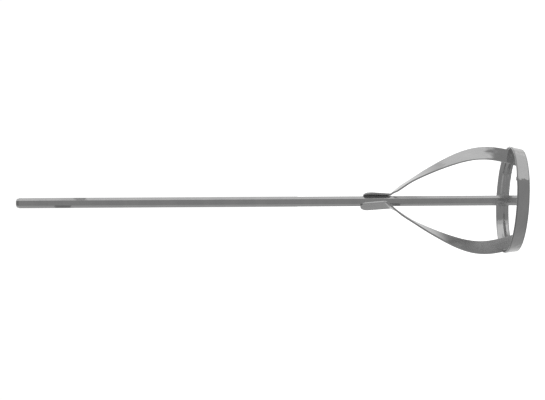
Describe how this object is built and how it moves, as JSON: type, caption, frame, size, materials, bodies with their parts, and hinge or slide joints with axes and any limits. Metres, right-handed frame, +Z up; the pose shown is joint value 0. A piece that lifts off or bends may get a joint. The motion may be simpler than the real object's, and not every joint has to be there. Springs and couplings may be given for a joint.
{
  "type": "mortar mixing paddle",
  "caption": "Drill-driven mixing paddle: hexagonal bar with two twisted strip blades welded to it and to a flat ring at the free end.",
  "frame": {"origin": "on the bar's axis, level with the lowest point of the ring", "axes": "+Z up along the bar towards the shank end, +X towards the side where blade A swings out, +Y square to both"},
  "size_m": [0.1217, 0.1206, 0.5687],
  "materials": {
    "bar": "zinc-plated drawn bar, satin",
    "strip": "zinc-plated rolled strip, satin to semi-gloss with faint waves",
    "weld": "zinc-plated weld bead, duller than the strip"
  },
  "bodies": {
    "root": {"shaft": "bar", "blade_a": "strip", "blade_b": "strip", "ring": "strip", "weld_tab_a": "weld", "weld_tab_b": "weld", "weld_ring_a": "weld", "weld_ring_b_left": "weld", "weld_ring_b_right": "weld", "weld_ring_seam": "weld"}
  },
  "joints": []
}
